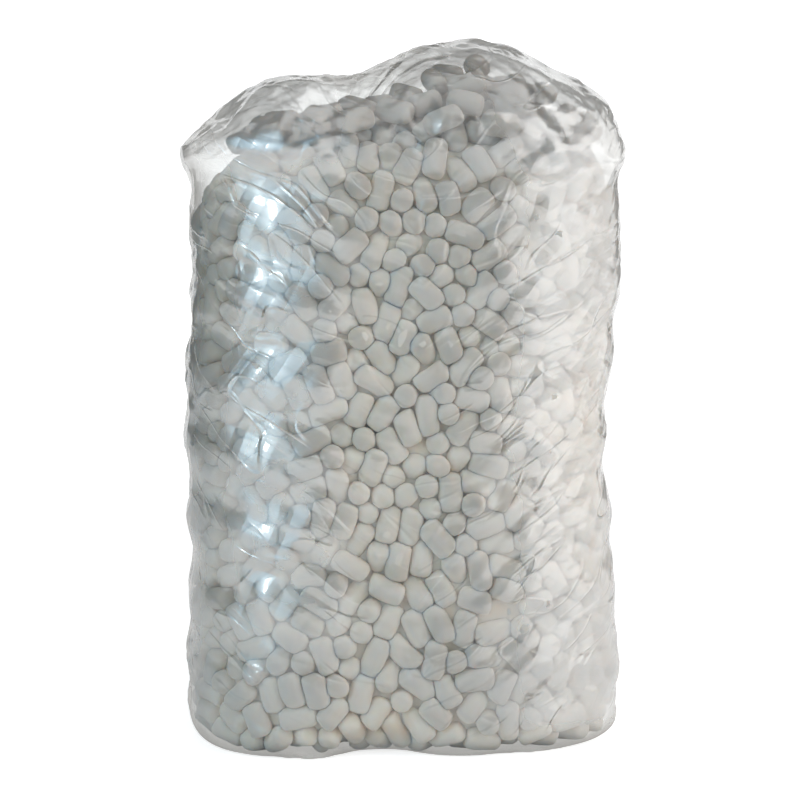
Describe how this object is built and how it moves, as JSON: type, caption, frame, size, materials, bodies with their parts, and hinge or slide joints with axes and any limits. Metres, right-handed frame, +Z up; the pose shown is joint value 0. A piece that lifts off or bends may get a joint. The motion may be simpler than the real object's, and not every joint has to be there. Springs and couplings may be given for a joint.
{
  "type": "packing peanut bag",
  "caption": "Tall clear film bag filled with white rod-shaped loose-fill packing peanuts, gathered and tied at the top, with slack film over the filling.",
  "frame": {"origin": "centre of the bag's footprint, on the surface that it stands on", "axes": "+Z up to the gathered neck, +X along the bag's width, -Y to the front, where the soft crease is"},
  "size_m": [0.3631, 0.272, 0.5683],
  "materials": {
    "clear_film": "thin clear glossy film",
    "starch_foam": "white matt foam",
    "tie": "satin"
  },
  "bodies": {
    "root": {"bag_film": "clear_film", "loose_peanut_01": "starch_foam", "loose_peanut_02": "starch_foam", "loose_peanut_03": "starch_foam", "loose_peanut_04": "starch_foam", "loose_peanut_05": "starch_foam", "loose_peanut_06": "starch_foam", "loose_peanut_07": "starch_foam", "loose_peanut_08": "starch_foam", "loose_peanut_09": "starch_foam", "loose_peanut_10": "starch_foam", "loose_peanut_11": "starch_foam", "loose_peanut_12": "starch_foam", "loose_peanut_13": "starch_foam", "loose_peanut_14": "starch_foam", "loose_peanut_15": "starch_foam", "loose_peanut_16": "starch_foam", "loose_peanut_17": "starch_foam", "loose_peanut_18": "starch_foam", "loose_peanut_19": "starch_foam", "loose_peanut_20": "starch_foam", "loose_peanut_21": "starch_foam", "loose_peanut_22": "starch_foam", "loose_peanut_23": "starch_foam", "loose_peanut_24": "starch_foam", "loose_peanut_25": "starch_foam", "loose_peanut_26": "starch_foam", "loose_peanut_27": "starch_foam", "loose_peanut_28": "starch_foam", "loose_peanut_29": "starch_foam", "loose_peanut_30": "starch_foam", "loose_peanut_31": "starch_foam", "loose_peanut_32": "starch_foam", "loose_peanut_33": "starch_foam", "loose_peanut_34": "starch_foam", "loose_peanut_35": "starch_foam", "loose_peanut_36": "starch_foam", "loose_peanut_37": "starch_foam", "loose_peanut_38": "starch_foam", "loose_peanut_39": "starch_foam", "loose_peanut_40": "starch_foam", "loose_peanut_41": "starch_foam", "loose_peanut_42": "starch_foam", "loose_peanut_43": "starch_foam", "loose_peanut_44": "starch_foam", "loose_peanut_45": "starch_foam", "loose_peanut_46": "starch_foam", "loose_peanut_47": "starch_foam", "loose_peanut_48": "starch_foam", "loose_peanut_49": "starch_foam", "loose_peanut_50": "starch_foam", "neck_tie": "tie", "peanut_fill": "starch_foam"}
  },
  "joints": []
}
